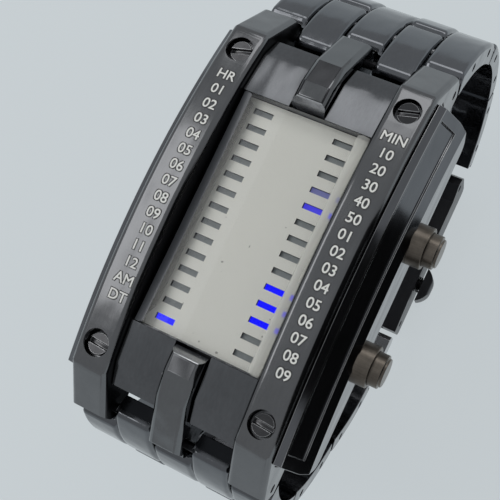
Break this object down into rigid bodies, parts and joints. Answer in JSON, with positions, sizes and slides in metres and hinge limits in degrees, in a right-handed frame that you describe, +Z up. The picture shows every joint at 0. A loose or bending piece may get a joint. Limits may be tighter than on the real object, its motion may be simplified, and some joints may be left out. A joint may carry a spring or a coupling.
{
  "type": "led watch",
  "caption": "Wristwatch with light bars behind a bevelled glass, long curved case between two screwed side bars, side push buttons and a closed steel link bracelet with folding clasp.",
  "frame": {"origin": "middle of the flat underside of the clasp's cover, on which the closed watch stands", "axes": "+Z up from the clasp through the case to the glass, +Y from six to twelve o'clock along the case, +X across the watch towards the push buttons"},
  "size_m": [0.0352, 0.0684, 0.053],
  "materials": {
    "case_steel": "dark gunmetal plating, half gloss",
    "bar_steel": "gunmetal plating, polished",
    "screw_steel": "polished, slotted",
    "cover_black": "black plating, mirror gloss",
    "display_glass": "clear, bevelled",
    "seal_rubber": "matte",
    "dial_print": "satin",
    "light": "lit blue",
    "board": "satin",
    "frame_plastic": "satin",
    "cell_steel": "satin",
    "contact_brass": "bright",
    "back_steel": "brushed",
    "button_steel": "bronze-grey plating, half gloss",
    "pin_steel": "bright",
    "link_steel": "gunmetal plating, polished",
    "link_steel_dark": "gunmetal plating, polished",
    "clasp_steel": "gunmetal plating, satin",
    "blade_steel": "bright"
  },
  "bodies": {
    "head": {"case_block": "case_steel", "rail_left": "bar_steel", "rail_right": "bar_steel", "rail_screws": "screw_steel", "side_cover_left": "cover_black", "side_cover_right": "cover_black", "centre_bar_top": "case_steel", "centre_bar_bottom": "case_steel", "glass": "display_glass", "glass_gasket": "seal_rubber", "window_mask": "dial_print", "light_emitters": "light", "circuit_board": "board", "board_parts": "board", "module_frame": "frame_plastic", "coin_cell": "cell_steel", "cell_contact": "contact_brass", "case_back": "back_steel", "back_gasket": "seal_rubber", "back_screws": "screw_steel", "pusher_tubes": "button_steel", "pusher_seals": "seal_rubber", "switch_blades": "contact_brass", "lug_pins": "pin_steel", "pusher_spring_upper": "pin_steel", "pusher_spring_lower": "pin_steel"},
    "push_upper": {"pusher_upper": "button_steel", "pusher_clip_upper": "pin_steel"},
    "push_lower": {"pusher_lower": "button_steel", "pusher_clip_lower": "pin_steel"},
    "upper_link_1": {"upper_row_1": "link_steel_dark"},
    "upper_link_2": {"upper_row_2": "link_steel", "upper_pins_2": "pin_steel"},
    "upper_link_3": {"upper_row_3": "link_steel_dark"},
    "upper_link_4": {"upper_row_4": "link_steel", "upper_pins_4": "pin_steel"},
    "upper_link_5": {"upper_row_5": "link_steel_dark"},
    "upper_link_6": {"upper_row_6": "link_steel", "upper_pins_6": "pin_steel"},
    "upper_link_7": {"upper_row_7": "link_steel_dark"},
    "clasp_cover": {"clasp_cover": "clasp_steel", "cover_pins": "pin_steel", "button_spring_left": "pin_steel", "button_spring_right": "pin_steel"},
    "fold_blade": {"fold_blade": "blade_steel", "blade_pin": "pin_steel"},
    "strap_blade": {"strap_blade": "blade_steel", "spring_bar": "pin_steel"},
    "clasp_button_left": {"clasp_button_left": "clasp_steel"},
    "clasp_button_right": {"clasp_button_right": "clasp_steel"},
    "lower_link_1": {"lower_row_1": "link_steel_dark"},
    "lower_link_2": {"lower_row_2": "link_steel", "lower_pins_2": "pin_steel"},
    "lower_link_3": {"lower_row_3": "link_steel_dark"},
    "lower_link_4": {"lower_row_4": "link_steel", "lower_pins_4": "pin_steel"},
    "lower_link_5": {"lower_row_5": "link_steel_dark"},
    "lower_link_6": {"lower_row_6": "link_steel", "lower_pins_6": "pin_steel"},
    "lower_link_7": {"lower_row_7": "link_steel_dark"}
  },
  "joints": [
    {"name": "push_upper_press", "type": "slide", "parent": "head", "child": "push_upper", "axis": [-1, 0, 0], "range_m": [0, 0.0008], "stiffness_N_per_m": 600, "springref_m": -0.001, "deforming": ["pusher_spring_upper"]},
    {"name": "push_lower_press", "type": "slide", "parent": "head", "child": "push_lower", "axis": [-1, 0, 0], "range_m": [0, 0.0008], "stiffness_N_per_m": 600, "springref_m": -0.001, "deforming": ["pusher_spring_lower"]},
    {"name": "upper_bend_1", "type": "hinge", "parent": "head", "child": "upper_link_1", "pos_m": [0, 0.01236, 0.04198], "axis": [1, 0, 0], "range_deg": [0, 30]},
    {"name": "upper_bend_2", "type": "hinge", "parent": "upper_link_1", "child": "upper_link_2", "pos_m": [0, 0.01786, 0.03798], "axis": [1, 0, 0], "range_deg": [0, 14]},
    {"name": "upper_bend_3", "type": "hinge", "parent": "upper_link_2", "child": "upper_link_3", "pos_m": [0, 0.02223, 0.03277], "axis": [1, 0, 0], "range_deg": [0, 22]},
    {"name": "upper_bend_4", "type": "hinge", "parent": "upper_link_3", "child": "upper_link_4", "pos_m": [0, 0.02433, 0.0263], "axis": [1, 0, 0], "range_deg": [0, 20]},
    {"name": "upper_bend_5", "type": "hinge", "parent": "upper_link_4", "child": "upper_link_5", "pos_m": [0, 0.02409, 0.01951], "axis": [1, 0, 0], "range_deg": [0, 19]},
    {"name": "upper_bend_6", "type": "hinge", "parent": "upper_link_5", "child": "upper_link_6", "pos_m": [0, 0.02166, 0.01316], "axis": [1, 0, 0], "range_deg": [0, 19]},
    {"name": "upper_bend_7", "type": "hinge", "parent": "upper_link_6", "child": "upper_link_7", "pos_m": [0, 0.01729, 0.00795], "axis": [1, 0, 0], "range_deg": [0, 20]},
    {"name": "clasp_swing", "type": "hinge", "parent": "upper_link_7", "child": "clasp_cover", "pos_m": [0, 0.0114, 0.00455], "axis": [1, 0, 0], "range_deg": [0, 30]},
    {"name": "lower_bend_1", "type": "hinge", "parent": "head", "child": "lower_link_1", "pos_m": [0, -0.03764, 0.04198], "axis": [-1, 0, 0], "range_deg": [0, 55]},
    {"name": "lower_bend_2", "type": "hinge", "parent": "lower_link_1", "child": "lower_link_2", "pos_m": [0, -0.04008, 0.03563], "axis": [-1, 0, 0], "range_deg": [0, 14.5]},
    {"name": "lower_bend_3", "type": "hinge", "parent": "lower_link_2", "child": "lower_link_3", "pos_m": [0, -0.04085, 0.02887], "axis": [-1, 0, 0], "range_deg": [0, 26.5]},
    {"name": "lower_bend_4", "type": "hinge", "parent": "lower_link_3", "child": "lower_link_4", "pos_m": [0, -0.03852, 0.02248], "axis": [-1, 0, 0], "range_deg": [0, 16]},
    {"name": "lower_bend_5", "type": "hinge", "parent": "lower_link_4", "child": "lower_link_5", "pos_m": [0, -0.03453, 0.01698], "axis": [-1, 0, 0], "range_deg": [0, 6]},
    {"name": "lower_bend_6", "type": "hinge", "parent": "lower_link_5", "child": "lower_link_6", "pos_m": [0, -0.02998, 0.01193], "axis": [-1, 0, 0], "range_deg": [0, 8]},
    {"name": "lower_bend_7", "type": "hinge", "parent": "lower_link_6", "child": "lower_link_7", "pos_m": [0, -0.02477, 0.00756], "axis": [-1, 0, 0], "range_deg": [0, 9]},
    {"name": "clasp_fold", "type": "hinge", "parent": "clasp_cover", "child": "fold_blade", "pos_m": [0, -0.01104, 0.0023], "axis": [1, 0, 0], "range_deg": [0, 132]},
    {"name": "clasp_unfold", "type": "hinge", "parent": "fold_blade", "child": "strap_blade", "pos_m": [0, 0.00724, 0.0029], "axis": [-1, 0, 0], "range_deg": [0, 132]},
    {"name": "clasp_press_right", "type": "slide", "parent": "clasp_cover", "child": "clasp_button_right", "axis": [-1, 0, 0], "range_m": [0, 0.0006], "stiffness_N_per_m": 600, "springref_m": -0.0008, "deforming": ["button_spring_right"]},
    {"name": "clasp_press_left", "type": "slide", "parent": "clasp_cover", "child": "clasp_button_left", "axis": [1, 0, 0], "range_m": [0, 0.0006], "stiffness_N_per_m": 600, "springref_m": -0.0008, "deforming": ["button_spring_left"]}
  ],
  "couplings": [
    {"joint": "clasp_fold", "follows": "lower_bend_1", "ratio": 2.4},
    {"joint": "clasp_unfold", "follows": "lower_bend_1", "ratio": 2.4}
  ]
}
